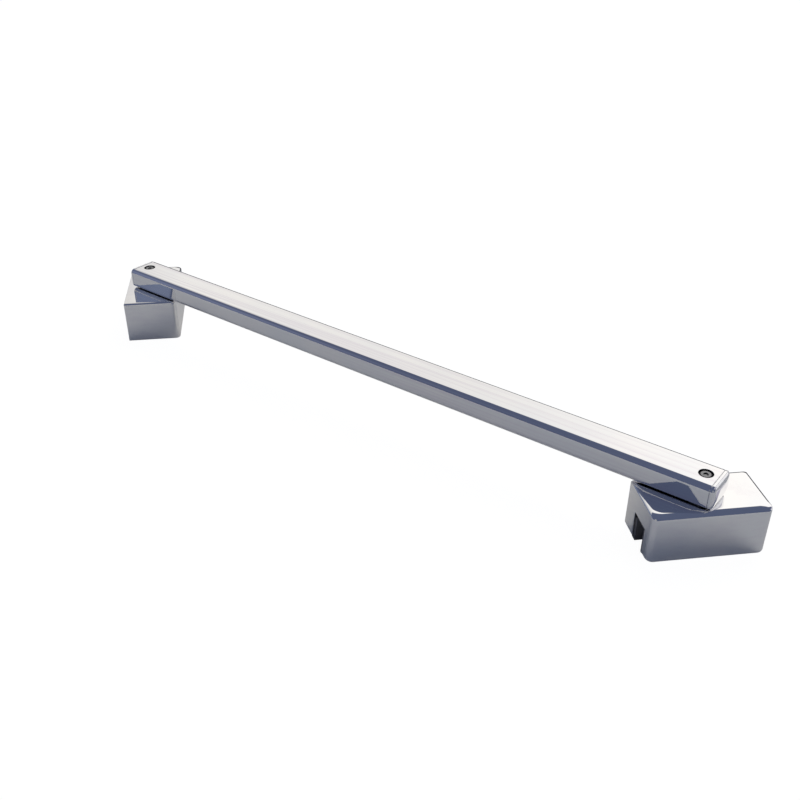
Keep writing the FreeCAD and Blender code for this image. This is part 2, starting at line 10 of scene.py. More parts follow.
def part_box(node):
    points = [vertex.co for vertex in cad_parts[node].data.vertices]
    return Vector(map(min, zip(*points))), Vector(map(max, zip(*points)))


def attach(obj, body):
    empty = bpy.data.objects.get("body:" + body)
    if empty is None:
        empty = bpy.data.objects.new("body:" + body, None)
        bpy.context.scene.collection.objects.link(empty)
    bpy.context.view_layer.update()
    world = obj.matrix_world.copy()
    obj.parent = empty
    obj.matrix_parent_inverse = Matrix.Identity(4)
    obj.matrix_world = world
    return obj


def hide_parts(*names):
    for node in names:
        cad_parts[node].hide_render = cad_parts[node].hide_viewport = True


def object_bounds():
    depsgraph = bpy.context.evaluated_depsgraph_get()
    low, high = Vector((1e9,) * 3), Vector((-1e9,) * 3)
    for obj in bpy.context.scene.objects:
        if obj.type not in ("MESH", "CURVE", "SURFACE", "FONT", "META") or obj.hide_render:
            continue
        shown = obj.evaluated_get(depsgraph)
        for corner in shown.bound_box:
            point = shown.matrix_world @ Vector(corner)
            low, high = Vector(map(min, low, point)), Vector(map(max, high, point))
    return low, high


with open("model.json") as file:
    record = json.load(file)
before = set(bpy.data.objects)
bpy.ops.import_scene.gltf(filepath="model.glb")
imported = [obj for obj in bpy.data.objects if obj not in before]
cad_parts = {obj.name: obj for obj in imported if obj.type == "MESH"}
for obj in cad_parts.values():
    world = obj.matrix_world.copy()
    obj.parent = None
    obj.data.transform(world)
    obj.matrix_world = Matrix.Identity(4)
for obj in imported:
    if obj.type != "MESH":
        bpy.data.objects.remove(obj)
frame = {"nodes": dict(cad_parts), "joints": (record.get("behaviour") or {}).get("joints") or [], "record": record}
CAD_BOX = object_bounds()

# Pieces are drawn in millimetres, each in the local frame that its function names.
MM = 0.001
IN_PLACE = Matrix.Identity(4)
FLOOR_Z = CAD_BOX[0].z


def node_box(name):
    """A CAD node's lowest and highest corners, in millimetres."""
    low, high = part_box(name)
    return low / MM, high / MM


def joint_at(name):
    joint = next(j for j in frame["joints"] if j["name"] == name)
    return Vector(joint["pos_m"]) / MM


WALL_PIVOT = joint_at("wall_pivot")
GLASS_PIVOT = joint_at("glass_pivot")
PIVOT_DISTANCE = (GLASS_PIVOT - WALL_PIVOT).length
BAR_ANGLE = math.atan2(GLASS_PIVOT.y - WALL_PIVOT.y, GLASS_PIVOT.x - WALL_PIVOT.x)
BAR_BOTTOM = node_box("bar_tube")[0].z
BAR_TOP = node_box("bar_tube")[1].z
BAR_HEIGHT = BAR_TOP - BAR_BOTTOM

# the bar's section, ends and holes, as in the CAD. Holes are given by their radius.
BAR_WIDTH = 20.8
BAR_CORNER = 3.0
BAR_LEAST_CORNER = 0.8
BAR_WALL = 1.5
BAR_OVERHANG = 6.0
BAR_END_ROUND = 0.3
SHANK_REACH = 9.0
SHANK_GAP = 0.1
HEAD_RECESS = 3.7
HEAD_RECESS_BEVEL = 0.05
BUSH_HOLE = 3.05
BUSH_FLANGE = 0.6
RECESS_FLOOR = node_box("glass_pivot_bush")[1].z - BUSH_FLANGE
SCREW_HOLE = 2.05

# the plugs' ends, softer than in the CAD and inside its outline
COLLAR = 1.7
COLLAR_ROUND = 0.45
CROWN_STEP = 0.4
CROWN_RISE = 1.6
CROWN_ROUND = 5.0
CROWN_CORNER_GROWTH = 2.4
CROWN_LEAST_FLAT = 0.05

# pivot screws
HEAD_HEIGHT = 2.2
HEAD_SIDE = 0.5
HEAD_FLAT_RADIUS = 2.5
SHANK_RADIUS = 2.0
SHANK_TIP = 0.5
SOCKET_RADIUS = 1.35
SOCKET_MOUTH_RADIUS = 1.6
SOCKET_DEPTH = 0.6
SOCKET_BEVEL = 0.12
SOCKET_SIDES = 6

# the two blocks
CAST_POWER = 2.3                      # of the soft top edges, where 2 is a plain round
PIVOT_HOLE_DEPTH = 10.0
WALL_SHELL = 4.0
CAVITY_CORNER = 2.0
BOSS_RADIUS = 5.5
BOSS_DEPTH = 8.0
SET_SCREW_X = 8.0
SET_SCREW_Y = 10.0
SET_SCREW_HOLE = 2.05
SET_SCREW_BEVEL = 0.25
CLAMP_SLOT = 13.5
SLOT_CORNER = 0.3
SLOT_FLARE = 0.25
CLAMP_SCREW_HOLE = 2.55
CLAMP_SCREW_BEVEL = 0.3

# how finely the meshes are divided
CORNER_STEPS = 24
EDGE_STEPS = 20
TUBE_RIM_STEPS = 4
COLLAR_STEPS = 5
CROWN_STEPS = 16
HEAD_STEPS = 8
LATHE_SIDES = 72
BACKDROP_STEPS = 16
SHARP_ANGLE = math.radians(32)
FACE_WEIGHT = 90

# how far a cutter stands past the surface that it cuts
PAST = 1.0
JUST_PAST = 0.001


# ---------------------------------------------------------------- camera
LENS = 42.66
SENSOR = 36.0
CAMERA_AT = Vector((107.23, -627.09, 288.76)) * MM
CAMERA_YAW = math.radians(7.63)       # from +Y towards +X
CAMERA_DOWN = math.radians(31.22)
CAMERA_ROLL = math.radians(0.08)      # the camera's right side tips up


def make_camera():
    data = bpy.data.cameras.new("camera")
    data.lens = LENS
    data.sensor_width = SENSOR
    data.clip_start = 0.01
    data.clip_end = 50
    camera = bpy.data.objects.new("camera", data)
    bpy.context.scene.collection.objects.link(camera)
    look = Vector((
        math.sin(CAMERA_YAW) * math.cos(CAMERA_DOWN),
        math.cos(CAMERA_YAW) * math.cos(CAMERA_DOWN),
        -math.sin(CAMERA_DOWN),
    ))
    level_right = look.cross(Vector((0, 0, 1))).normalized()
    level_up = level_right.cross(look)
    right = level_right * math.cos(CAMERA_ROLL) + level_up * math.sin(CAMERA_ROLL)
    up = right.cross(look)
    turn = Matrix((right, up, -look)).transposed()
    camera.matrix_world = Matrix.Translation(CAMERA_AT) @ turn.to_4x4()
    bpy.context.scene.camera = camera


# ---------------------------------------------------------------- node helpers
# the sockets of a Mix node that mixes colours
MIX_FACTOR = 0
MIX_FIRST = 6
MIX_SECOND = 7
MIX_RESULT = 2


class Nodes:
    """Adds nodes to a tree and joins them. An input may be a plain value or a node's socket."""

    def __init__(self, tree):
        self.tree = tree
        tree.nodes.clear()

    def add(self, kind, settings=None, **inputs):
        """Inputs are named after their sockets, or input_0, input_1 and so on by their place."""
        node = self.tree.nodes.new(kind)
        for name, setting in (settings or {}).items():
            setattr(node, name, setting)
        for name, source in inputs.items():
            if name.startswith("input_"):
                socket = node.inputs[int(name.removeprefix("input_"))]
            else:
                socket = node.inputs[name.replace("_", " ")]
            self.feed(socket, source)
        return node

    def feed(self, socket, source):
        if isinstance(source, bpy.types.NodeSocket):
            self.tree.links.new(source, socket)
        else:
            socket.default_value = source

    def math(self, operation, *values):
        inputs = {f"input_{i}": v for i, v in enumerate(values)}
        return self.add("ShaderNodeMath", {"operation": operation}, **inputs).outputs[0]

    def vector_math(self, operation, *vectors):
        inputs = {f"input_{i}": v for i, v in enumerate(vectors)}
        return self.add("ShaderNodeVectorMath", {"operation": operation}, **inputs)

    def dot(self, first, second):
        return self.vector_math("DOT_PRODUCT", first, second).outputs["Value"]

    def spread(self, value, low, high, to_low=0.0, to_high=1.0):
        """Smoothly carries value from low..high to to_low..to_high."""
        node = self.add(
            "ShaderNodeMapRange", {"interpolation_type": "SMOOTHSTEP"},
            input_0=value, input_1=low, input_2=high, input_3=to_low, input_4=to_high,
        )
        return node.outputs[0]

    def mix(self, factor, first, second):
        """Mixes two colours, each a (red, green, blue) tuple or a socket."""
        node = self.add("ShaderNodeMix", {"data_type": "RGBA"})
        self.feed(node.inputs[MIX_FACTOR], factor)
        for place, color in ((MIX_FIRST, first), (MIX_SECOND, second)):
            self.feed(node.inputs[place], (*color, 1) if isinstance(color, tuple) else color)
        return node.outputs[MIX_RESULT]


def new_material(name):
    material = bpy.data.materials.new(name)
    material.use_nodes = True
    return material, Nodes(material.node_tree)


# ---------------------------------------------------------------- mesh tools
def loft(loops, ring=False):
    """A mesh through loops of equal length: a closed ring, or a form with its ends filled."""
    mesh = bmesh.new()
    rows = [[mesh.verts.new(point) for point in loop] for loop in loops]
    pairs = list(zip(rows, rows[1:]))
    if ring:
        pairs.append((rows[-1], rows[0]))
    for low, high in pairs:
        for i in range(len(low)):
            j = (i + 1) % len(low)
            mesh.faces.new((low[i], low[j], high[j], high[i]))
    if not ring:
        mesh.faces.new(list(reversed(rows[0])))
        mesh.faces.new(rows[-1])
    bmesh.ops.recalc_face_normals(mesh, faces=mesh.faces)
    return mesh


def make_object(name, mesh, place=IN_PLACE):
    """Puts a bmesh drawn in millimetres in place, and scales it to metres."""
    data = bpy.data.meshes.new(name)
    mesh.transform(Matrix.Scale(MM, 4) @ place)
    mesh.to_mesh(data)
    mesh.free()
    piece = bpy.data.objects.new(name, data)
    bpy.context.scene.collection.objects.link(piece)
    return piece


def cut(piece, cutter):
    """Cuts one object out of another, and removes the cutter."""
    modifier = piece.modifiers.new("cut", "BOOLEAN")
    modifier.object = cutter
    modifier.operation = "DIFFERENCE"
    modifier.solver = "EXACT"
    bpy.context.view_layer.update()
    evaluated = piece.evaluated_get(bpy.context.evaluated_depsgraph_get())
    solid = bpy.data.meshes.new_from_object(evaluated)
    piece.modifiers.clear()
    piece.data = solid
    bpy.data.objects.remove(cutter)
    return piece


def lathe(profile, sides=LATHE_SIDES):
    """A round form about Z from (radius, z) points, from its bottom to its top."""
    loops = []
    for radius, z in profile:
        angles = [2 * math.pi * k / sides for k in range(sides)]
        loops.append([Vector((radius * math.cos(a), radius * math.sin(a), z)) for a in angles])
    return loft(loops)


def drill(piece, at, profile, turn=IN_PLACE):
    """Cuts a round hole whose axis passes through at, along turn's own Z."""
    return cut(piece, make_object("drill", lathe(profile), Matrix.Translation(at) @ turn))


def rounded_loop(low, high, rounds):
    """Points round a rectangle, from its low corner.

    low and high are (u, v), and rounds has one radius for each corner.
    """
    points = []
    corners = ((low[0], low[1]), (high[0], low[1]), (high[0], high[1]), (low[0], high[1]))
    for i, (u, v) in enumerate(corners):
        radius = rounds[i]
        middle_u = u + radius * (1 if i in (0, 3) else -1)
        middle_v = v + radius * (1 if i in (0, 1) else -1)
        for step in range(CORNER_STEPS + 1):
            angle = math.pi + (i + step / CORNER_STEPS) * math.pi / 2
            u_here = middle_u + radius * math.cos(angle)
            v_here = middle_v + radius * math.sin(angle)
            points.append((u_here, v_here))
    return points


def edge_profile(power=2.0, steps=EDGE_STEPS):
    """(how far in, how far up) along a rounded edge from its side to its flat, from 0 to 1."""
    profile = []
    for step in range(steps + 1):
        angle = step / steps * math.pi / 2
        profile.append((1 - math.cos(angle) ** (2 / power), math.sin(angle) ** (2 / power)))
    return profile


def block_level(low, high, rounds, insets, growth, drops, z):
    """One level of a block. insets and drops belong to the sides -X, -Y, +X and +Y."""
    level_low = (low.x + insets[0], low.y + insets[1])
    level_high = (high.x - insets[2], high.y - insets[3])
    level_rounds = [
        rounds[i] + growth[i] * (insets[i] + insets[(i + 1) % 4]) / 2 for i in range(4)
    ]
    loop = []
    for index, (x, y) in enumerate(rounded_loop(level_low, level_high, level_rounds)):
        corner, step = divmod(index, CORNER_STEPS + 1)
        share = math.sin(step / CORNER_STEPS * math.pi / 2) ** 2
        drop = drops[corner] * (1 - share) + drops[(corner + 1) % 4] * share
        loop.append(Vector((x, y, z + drop)))
    return loop


def soft_block(low, high, rounds, growth, top, bottom, power):
    """A block with rounded edges.

    rounds are the upright corners' radii, from the low corner, and growth says how much a corner's
    radius gains as the edges beside it draw in. top and bottom give each edge as (in, along the
    side) for the sides -X, -Y, +X and +Y. power shapes the top edges.
    """
    loops = []
    for inward, up in reversed(edge_profile()):
        insets = [reach * inward for reach, _ in bottom]
        drops = [down * (1 - up) for _, down in bottom]
        loops.append(block_level(low, high, rounds, insets, growth, drops, low.z))
    for inward, up in edge_profile(power):
        insets = [reach * inward for reach, _ in top]
        drops = [-down * (1 - up) for _, down in top]
        loops.append(block_level(low, high, rounds, insets, growth, drops, high.z))
    return loft(loops)


def box_form(low, high, corner, flare=0.0):
    """A box along X with rounded long edges, wider by flare at both ends."""
    levels = (
        (low.x, flare), (low.x + 2 * flare, 0.0),
        (high.x - 2 * flare, 0.0), (high.x, flare),
    )
    loops = []
    for x, wider in levels:
        points = rounded_loop(
            (low.y - wider, low.z - wider), (high.y + wider, high.z + wider), (corner,) * 4
        )
        loops.append([Vector((x, y, z)) for y, z in points])
    return loft(loops)


def finish_piece(piece, body, material, replaced):
    """Shades a piece, gives it its material, puts it under its body, and hides the CAD node it stands for."""
    for polygon in piece.data.polygons:
        polygon.use_smooth = True
    piece.data.set_sharp_from_angle(angle=SHARP_ANGLE)
    normals = piece.modifiers.new("normals", "WEIGHTED_NORMAL")
    normals.keep_sharp = True
    normals.weight = FACE_WEIGHT
    piece.data.materials.clear()
    piece.data.materials.append(material)
    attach(piece, body)
    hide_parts(replaced)
    return piece


# ---------------------------------------------------------------- studio
class Patch(NamedTuple):
    """A soft-edged part of the room, in degrees. Azimuths go from +Y towards +X.

    Each edge is a pair: where the patch has faded out, and where it is whole. sides are measured
    from the azimuth, and top and bottom are heights above the horizon.
    """
    azimuth: float
    sides: tuple
    top: tuple
    bottom: tuple = None


# A white panel stands behind the object, brightest at its right side. The room is dark blue
# overhead and nearly black below the panel. It has a lighter wall on the left and a pale one on
# the right, and a dimmer panel faces the object's near side.
PANEL = Patch(azimuth=19, sides=(55, 47), top=(52, 47), bottom=(16, 20))
PANEL_COLOR = (1.24, 1.21, 1.17)
PANEL_MIDDLE_COLOR = (0.98, 0.965, 0.935)
PANEL_EDGE_COLOR = (0.72, 0.71, 0.70)
PANEL_EDGE_TO_MIDDLE = (-13, -6)
PANEL_MIDDLE_TO_BRIGHT = (10, 36)
CEILING_COLOR = (0.100, 0.122, 0.200)
HORIZON_COLOR = (0.020, 0.022, 0.028)
HORIZON_FADE = 0.06
LEFT_WALL = Patch(azimuth=-60, sides=(46, 15), top=(55, 20))
LEFT_WALL_COLOR = (0.20, 0.24, 0.36)
RIGHT_WALL = Patch(azimuth=86, sides=(32, 24), top=(42, 30))
RIGHT_WALL_COLOR = (0.98, 0.98, 1.00)
RIGHT_WALL_TOP_COLOR = (0.52, 0.50, 0.59)
RIGHT_WALL_TOP_TO_WALL = (30, 16)
NEAR_PANEL = Patch(azimuth=-162, sides=(15, 9), top=(42, 36), bottom=(10, 14))
NEAR_PANEL_COLOR = (0.62, 0.61, 0.57)

FLOOR_HALF = 4.0
FLOOR_GAP = 0.0001
FLOOR_MIRRORED = (0.93, 0.925, 0.875)
FLOOR_SEEN = (0.09, 0.09, 0.09)
FLOOR_GLOW = 0.975
WHITE = (1, 1, 1, 1)
BACKDROP_RADIUS = 3900.0
BACKDROP_FOOT = 100.0

KEY_AT = Vector((1.0, 1.0, 2.2))
KEY_AIM = Vector((0.15, -0.15, 0))
KEY_SIZE = 1.7
KEY_POWER = 12.9
KEY_COLOR = (1.0, 0.985, 0.96)


def sine(degrees):
    return math.sin(math.radians(degrees))


def cosine(degrees):
    return math.cos(math.radians(degrees))


def towards(azimuth):
    return Vector((sine(azimuth), cosine(azimuth), 0))


def inside(n, patch, bearing, height):
    """How far a direction lies inside a patch, from 0 to 1."""
    off_azimuth = n.dot(bearing, towards(patch.azimuth))
    between_sides = n.spread(off_azimuth, *map(cosine, patch.sides))
    in_height = n.spread(height, *map(sine, patch.top))
    if patch.bottom:
        in_height = n.math("MULTIPLY", n.spread(height, *map(sine, patch.bottom)), in_height)
    return n.math("MULTIPLY", between_sides, in_height)


def make_world():
    world = bpy.data.worlds.new("studio")
    bpy.context.scene.world = world
    world.use_nodes = True
    n = Nodes(world.node_tree)
    direction = n.add("ShaderNodeTexCoord").outputs["Generated"]
    height = n.add("ShaderNodeSeparateXYZ", Vector=direction).outputs["Z"]
    level = n.vector_math("MULTIPLY", direction, (1, 1, 0)).outputs[0]
    bearing = n.vector_math("NORMALIZE", level).outputs[0]
    rightward = n.dot(bearing, towards(90))

    far_side = n.spread(n.dot(bearing, towards(PANEL.azimuth)), 0.0, 0.5)
    panel_foot = sine(PANEL.bottom[0])
    low_down = n.spread(height, panel_foot, panel_foot + HORIZON_FADE, 1.0, 0.0)
    color = n.mix(n.math("MULTIPLY", far_side, low_down), CEILING_COLOR, HORIZON_COLOR)

    color = n.mix(inside(n, LEFT_WALL, bearing, height), color, LEFT_WALL_COLOR)

    below_top = n.spread(height, *map(sine, RIGHT_WALL_TOP_TO_WALL))
    pale = n.mix(below_top, RIGHT_WALL_TOP_COLOR, RIGHT_WALL_COLOR)
    color = n.mix(inside(n, RIGHT_WALL, bearing, height), color, pale)

    color = n.mix(inside(n, NEAR_PANEL, bearing, height), color, NEAR_PANEL_COLOR)

    past_edge = n.spread(rightward, *map(sine, PANEL_EDGE_TO_MIDDLE))
    past_middle = n.spread(rightward, *map(sine, PANEL_MIDDLE_TO_BRIGHT))
    white = n.mix(past_middle, n.mix(past_edge, PANEL_EDGE_COLOR, PANEL_MIDDLE_COLOR), PANEL_COLOR)
    color = n.mix(inside(n, PANEL, bearing, height), color, white)
    background = n.add("ShaderNodeBackground", Color=color, Strength=1.0)
    n.add("ShaderNodeOutputWorld", Surface=background.outputs[0])


def make_floor():
    """Nearly white by itself to the camera, with a faint shadow. Mirrors see plain lit paper."""
    mesh = bpy.data.meshes.new("floor")
    corners = [
        (-FLOOR_HALF, -FLOOR_HALF), (FLOOR_HALF, -FLOOR_HALF),
        (FLOOR_HALF, FLOOR_HALF), (-FLOOR_HALF, FLOOR_HALF),
    ]
    mesh.from_pydata([(x, y, FLOOR_Z - FLOOR_GAP) for x, y in corners], [], [(0, 1, 2, 3)])
    floor = bpy.data.objects.new("floor", mesh)
    bpy.context.scene.collection.objects.link(floor)
    material, n = new_material("pale_floor")
    seen = n.add("ShaderNodeLightPath").outputs["Is Camera Ray"]
    paper = n.add("ShaderNodeBsdfDiffuse", Color=n.mix(seen, FLOOR_MIRRORED, FLOOR_SEEN))
    strength = n.math("MULTIPLY", seen, FLOOR_GLOW)
    glow = n.add("ShaderNodeEmission", Color=WHITE, Strength=strength)
    both = n.add("ShaderNodeAddShader", input_0=paper.outputs[0], input_1=glow.outputs[0])
    n.add("ShaderNodeOutputMaterial", Surface=both.outputs[0])
    mesh.materials.append(material)


def make_backdrop():
    """A white dome round everything, for the camera only. Mirrors and light don't meet it."""
    angles = [k / BACKDROP_STEPS * math.pi / 2 for k in range(BACKDROP_STEPS)]
    dome = [(BACKDROP_RADIUS, FLOOR_Z / MM - BACKDROP_FOOT)]
    dome += [(BACKDROP_RADIUS * math.cos(a), BACKDROP_RADIUS * math.sin(a)) for a in angles]
    backdrop = make_object("backdrop", lathe(dome))
    backdrop.visible_diffuse = False
    backdrop.visible_glossy = False
    backdrop.visible_transmission = False
    backdrop.visible_shadow = False
    material, n = new_material("white_backdrop")
    glow = n.add("ShaderNodeEmission", Color=WHITE, Strength=1.0)
    n.add("ShaderNodeOutputMaterial", Surface=glow.outputs[0])
    backdrop.data.materials.append(material)


def make_key_light():
    """A soft round light high on the far right. It isn't mirrored and isn't in view."""
    data = bpy.data.lights.new("key", "AREA")
    data.shape = "DISK"
    data.size = KEY_SIZE
    data.energy = KEY_POWER
    data.color = KEY_COLOR
    light = bpy.data.objects.new("key", data)
    bpy.context.scene.collection.objects.link(light)
    light.location = KEY_AT
    light.rotation_euler = (KEY_AIM - KEY_AT).to_track_quat("-Z", "Y").to_euler()
    light.visible_glossy = False
    light.visible_camera = False


# ---------------------------------------------------------------- materials
PLATE_COOL = (0.79, 0.80, 0.82)
PLATE_WARM = (0.85, 0.84, 0.835)
PLATE_LINES = (0.74, 0.715, 0.755)


def chrome(name, grain_scale, grain_turn, grain_depth):
    """Bright plate: a deep mirror with a faint ripple, polishing lines along it and soft haze."""
    material, n = new_material(name)
    where = n.add("ShaderNodeTexCoord").outputs["Object"]
    turned = n.add("ShaderNodeMapping", Vector=where, Rotation=(0, 0, grain_turn))
    along = n.add("ShaderNodeMapping", Vector=turned.outputs[0], Scale=grain_scale)
    lines = n.add(
        "ShaderNodeTexNoise", Vector=along.outputs[0], Scale=1.0, Detail=4.0, Roughness=0.6
    ).outputs[0]
    ripple = n.add("ShaderNodeTexNoise", Vector=where, Scale=55.0, Detail=1.0, Roughness=0.4)
    haze = n.add(
        "ShaderNodeTexNoise", Vector=where, Scale=18.0, Detail=3.0, Roughness=0.5
    ).outputs[0]
    bright = n.mix(n.spread(haze, 0.35, 0.7), PLATE_COOL, PLATE_WARM)
    color = n.mix(n.spread(lines, 0.42, 0.66, 0.0, grain_depth), bright, PLATE_LINES)
    line_rough = n.spread(lines, 0.4, 0.75, 0.018, 0.05)
    haze_rough = n.spread(haze, 0.45, 0.75, 0.0, 0.02)
    rough = n.math("ADD", line_rough, haze_rough)
    fine = n.add("ShaderNodeBump", Strength=0.012, Distance=0.0002, Height=lines)
    coarse = n.add(
        "ShaderNodeBump", Strength=0.02, Distance=0.0006, Height=ripple.outputs[0],
        Normal=fine.outputs[0],
    )
    shader = n.add(
        "ShaderNodeBsdfPrincipled", Base_Color=color, Metallic=1.0, Roughness=rough,
        Normal=coarse.outputs[0],
    )
    n.add("ShaderNodeOutputMaterial", Surface=shader.outputs[0])
    return material


def steel(name, color, rough, scale):
    """Machined or pressed steel, with fine tool marks."""
    material, n = new_material(name)
    where = n.add("ShaderNodeTexCoord").outputs["Object"]
    along = n.add("ShaderNodeMapping", Vector=where, Scale=scale)
    lines = n.add(
        "ShaderNodeTexNoise", Vector=along.outputs[0], Scale=1.0, Detail=5.0, Roughness=0.65
    ).outputs[0]
    darker = tuple(c * 0.8 for c in color)
    lighter = tuple(min(1.0, c * 1.15) for c in color)
    tint = n.mix(lines, darker, lighter)
    roughness = n.spread(lines, 0.3, 0.7, rough * 0.8, rough * 1.3)
    bump = n.add("ShaderNodeBump", Strength=0.15, Distance=0.0001, Height=lines)
    shader = n.add(
        "ShaderNodeBsdfPrincipled", Base_Color=tint, Metallic=1.0, Roughness=roughness,
        Normal=bump.outputs[0],
    )
    n.add("ShaderNodeOutputMaterial", Surface=shader.outputs[0])
    return material


def moulded(name, color, rough, grain):
    """Rubber or plastic: a fine moulded grain, with faint lighter dust on it."""
    material, n = new_material(name)
    where = n.add("ShaderNodeTexCoord").outputs["Object"]
    fine = n.add(
        "ShaderNodeTexNoise", Vector=where, Scale=grain, Detail=3.0, Roughness=0.6
    ).outputs[0]
    broad = n.add(
        "ShaderNodeTexNoise", Vector=where, Scale=grain / 14, Detail=2.0, Roughness=0.5
    ).outputs[0]
    tint = n.mix(n.spread(broad, 0.35, 0.7), color, tuple(c * 1.35 for c in color))
    roughness = n.spread(fine, 0.3, 0.7, rough * 0.9, min(1.0, rough * 1.1))
    bump = n.add("ShaderNodeBump", Strength=0.3, Distance=0.0001, Height=fine)
    shader = n.add(
        "ShaderNodeBsdfPrincipled", Base_Color=tint, Roughness=roughness, Normal=bump.outputs[0]
    )
    n.add("ShaderNodeOutputMaterial", Surface=shader.outputs[0])
    return material


def make_materials():
    """The materials by name. All but the screws' shoulder, a darkened copy of screw steel with painted shade and
    dark reflection, are named after the record's slots.
    """
    along_bar = -BAR_ANGLE
    screw_marks = (900, 900, 2500)
    return {
        "chrome_zinc": chrome("zinc_chrome", (90, 90, 260), 0.0, 0.35),
        "chrome_tube": chrome("tube_chrome", (3, 330, 330), along_bar, 0.9),
        "chrome_plug": chrome("plug_chrome", (300, 300, 300), along_bar, 0.35),
        "steel_plate": steel("pressed_steel", (0.50, 0.51, 0.52), 0.32, (200, 40, 1500)),
        "steel_screw": steel("screw_steel", (0.26, 0.26, 0.27), 0.30, screw_marks),
        # the screws' shoulder: screw steel darkened to paint the shade of its recess and the dark room it reflects
        "painted_shade_shoulder": steel("shoulder_painted_shade_steel", (0.030, 0.030, 0.034), 0.42, screw_marks),
        "black_steel": steel("black_steel", (0.05, 0.05, 0.055), 0.45, (100, 700, 700)),
        "nylon": moulded("dark_nylon", (0.035, 0.035, 0.038), 0.45, 2500),
        "rubber": moulded("grey_rubber", (0.115, 0.112, 0.115), 0.75, 1800),
    }


def paint_nodes(materials):
    """Gives each CAD node its material. Those that no piece replaces show as they are."""
    slots = {s["node"]: s["material_slot"] for s in frame["record"]["subparts"]}
    for name, node in frame["nodes"].items():
        node.data.materials.clear()
        node.data.materials.append(materials[slots[name]])


# ---------------------------------------------------------------- the bar
def bar_place():
    """The bar's own frame, from the wall pivot with X along the bar."""
    return Matrix.Translation((WALL_PIVOT.x, WALL_PIVOT.y, 0)) @ Matrix.Rotation(BAR_ANGLE, 4, "Z")


def bar_section(x, inset, corner=None):
    """The bar's outline at x along it, drawn inward by inset. corner is its radius, if given."""
    corner = corner or max(BAR_CORNER - inset, BAR_LEAST_CORNER)
    half = BAR_WIDTH / 2 - inset
    points = rounded_loop((-half, BAR_BOTTOM + inset), (half, BAR_TOP - inset), (corner,) * 4)
    return [Vector((x, y, z)) for y, z in points]


def end_rim(radius, steps):
    """(how far back, how far in) round the rim of an end, from its face to its side."""
    return [(radius * inward, radius * (1 - up)) for inward, up in edge_profile(steps=steps)]


def bar_tube(materials):
    """The tube, with rounded cut ends, a recess for each screw head and a hole for each bush."""
    start = -BAR_OVERHANG
    end = PIVOT_DISTANCE + BAR_OVERHANG
    rim = end_rim(BAR_END_ROUND, TUBE_RIM_STEPS)
    loops = [bar_section(start, BAR_WALL)]
    loops += [bar_section(start + back, inset) for back, inset in rim]
    loops += [bar_section(end - back, inset) for back, inset in reversed(rim)]
    loops.append(bar_section(end, BAR_WALL))
    piece = make_object("bar_tube_shell", loft(loops, ring=True), bar_place())
    recess = [
        (HEAD_RECESS, BAR_TOP - 2 * BAR_WALL),
        (HEAD_RECESS, BAR_TOP - HEAD_RECESS_BEVEL),
        (HEAD_RECESS + HEAD_RECESS_BEVEL, BAR_TOP + JUST_PAST),
        (HEAD_RECESS + HEAD_RECESS_BEVEL, BAR_TOP + PAST),
    ]
    bush_hole = [(BUSH_HOLE, BAR_BOTTOM - PAST), (BUSH_HOLE, BAR_BOTTOM + 2 * BAR_WALL)]
    for distance in (0, PIVOT_DISTANCE):
        at = bar_place() @ Vector((distance, 0, 0))
        drill(piece, at, recess)
        drill(piece, at, bush_hole)
    return finish_piece(piece, "bar", materials["chrome_tube"], "bar_tube")


def end_plug(name, node, place, materials):
    """A plug drawn for the wall end: its crown is towards -X and its shank goes into the tube."""
    joint_x = -BAR_OVERHANG
    rim_x = joint_x - COLLAR
    rim = end_rim(COLLAR_ROUND, COLLAR_STEPS)
    shank_inset = BAR_WALL + SHANK_GAP
    loops = [bar_section(SHANK_REACH, shank_inset), bar_section(joint_x, shank_inset)]
    loops += [bar_section(joint_x - back, inset) for back, inset in rim]
    loops += [bar_section(rim_x + back, inset) for back, inset in reversed(rim)]
    loops.append(bar_section(rim_x, CROWN_STEP))
    for inward, up in edge_profile(steps=CROWN_STEPS)[1:]:
        # the crown leaves the collar straight and rolls over to an oval face
        inset = CROWN_STEP + CROWN_ROUND * inward
        widest_corner = BAR_HEIGHT / 2 - inset - CROWN_LEAST_FLAT
        corner = min(BAR_CORNER + CROWN_CORNER_GROWTH * inward, widest_corner)
        loops.append(bar_section(rim_x - CROWN_RISE * up, inset, corner))
    piece = make_object(name, loft(loops), place)
    at = place @ Vector((0, 0, 0))
    drill(piece, at, [(HEAD_RECESS, RECESS_FLOOR), (HEAD_RECESS, BAR_TOP + PAST)])
    drill(piece, at, [(BUSH_HOLE, BAR_BOTTOM - PAST), (BUSH_HOLE, BAR_TOP)])
    return finish_piece(piece, "bar", materials["chrome_plug"], node)


def end_plugs(materials):
    turned = Matrix.Translation((PIVOT_DISTANCE, 0, 0)) @ Matrix.Rotation(math.pi, 4, "Z")
    end_plug("wall_plug_crown", "wall_end_plug", bar_place(), materials)
    end_plug("glass_plug_crown", "glass_end_plug", bar_place() @ turned, materials)


